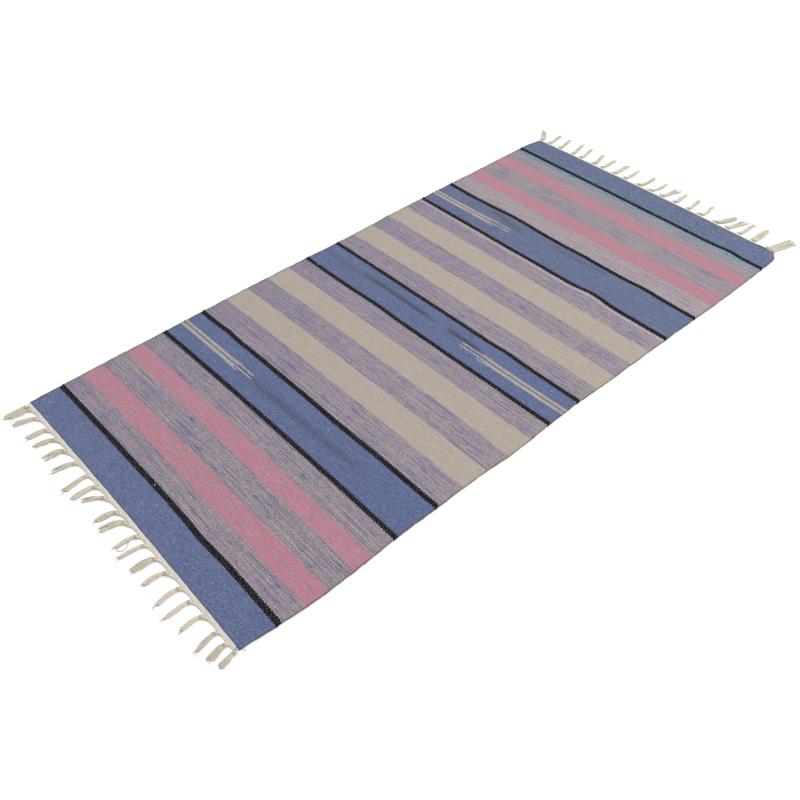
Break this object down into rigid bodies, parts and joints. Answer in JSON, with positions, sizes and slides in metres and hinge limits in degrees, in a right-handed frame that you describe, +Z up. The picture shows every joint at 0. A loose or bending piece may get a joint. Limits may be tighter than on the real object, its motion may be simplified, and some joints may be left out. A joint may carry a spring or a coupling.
{
  "type": "flatwoven striped cotton runner rug with knotted fringe",
  "caption": "Flatwoven cotton runner in weft stripes of blue, pink, lavender and beige with raised black lines, a cream heading and knotted warp tassels at both ends.",
  "frame": {"origin": "middle of the flat underside of the woven body, on the surface that the runner lies on", "axes": "+X along the length, from the near fringe to the far fringe; +Y across the width, to the left selvedge; +Z up from the floor through the cloth"},
  "size_m": [1.5852, 0.7436, 0.0062],
  "materials": {
    "woven_cotton": "matte weft-faced cotton weave with fine ribs",
    "warp_cotton": "matte unbleached cotton yarn"
  },
  "bodies": {
    "root": {"woven_body": "woven_cotton", "near_fringe": "warp_cotton", "far_fringe": "warp_cotton"}
  },
  "joints": []
}
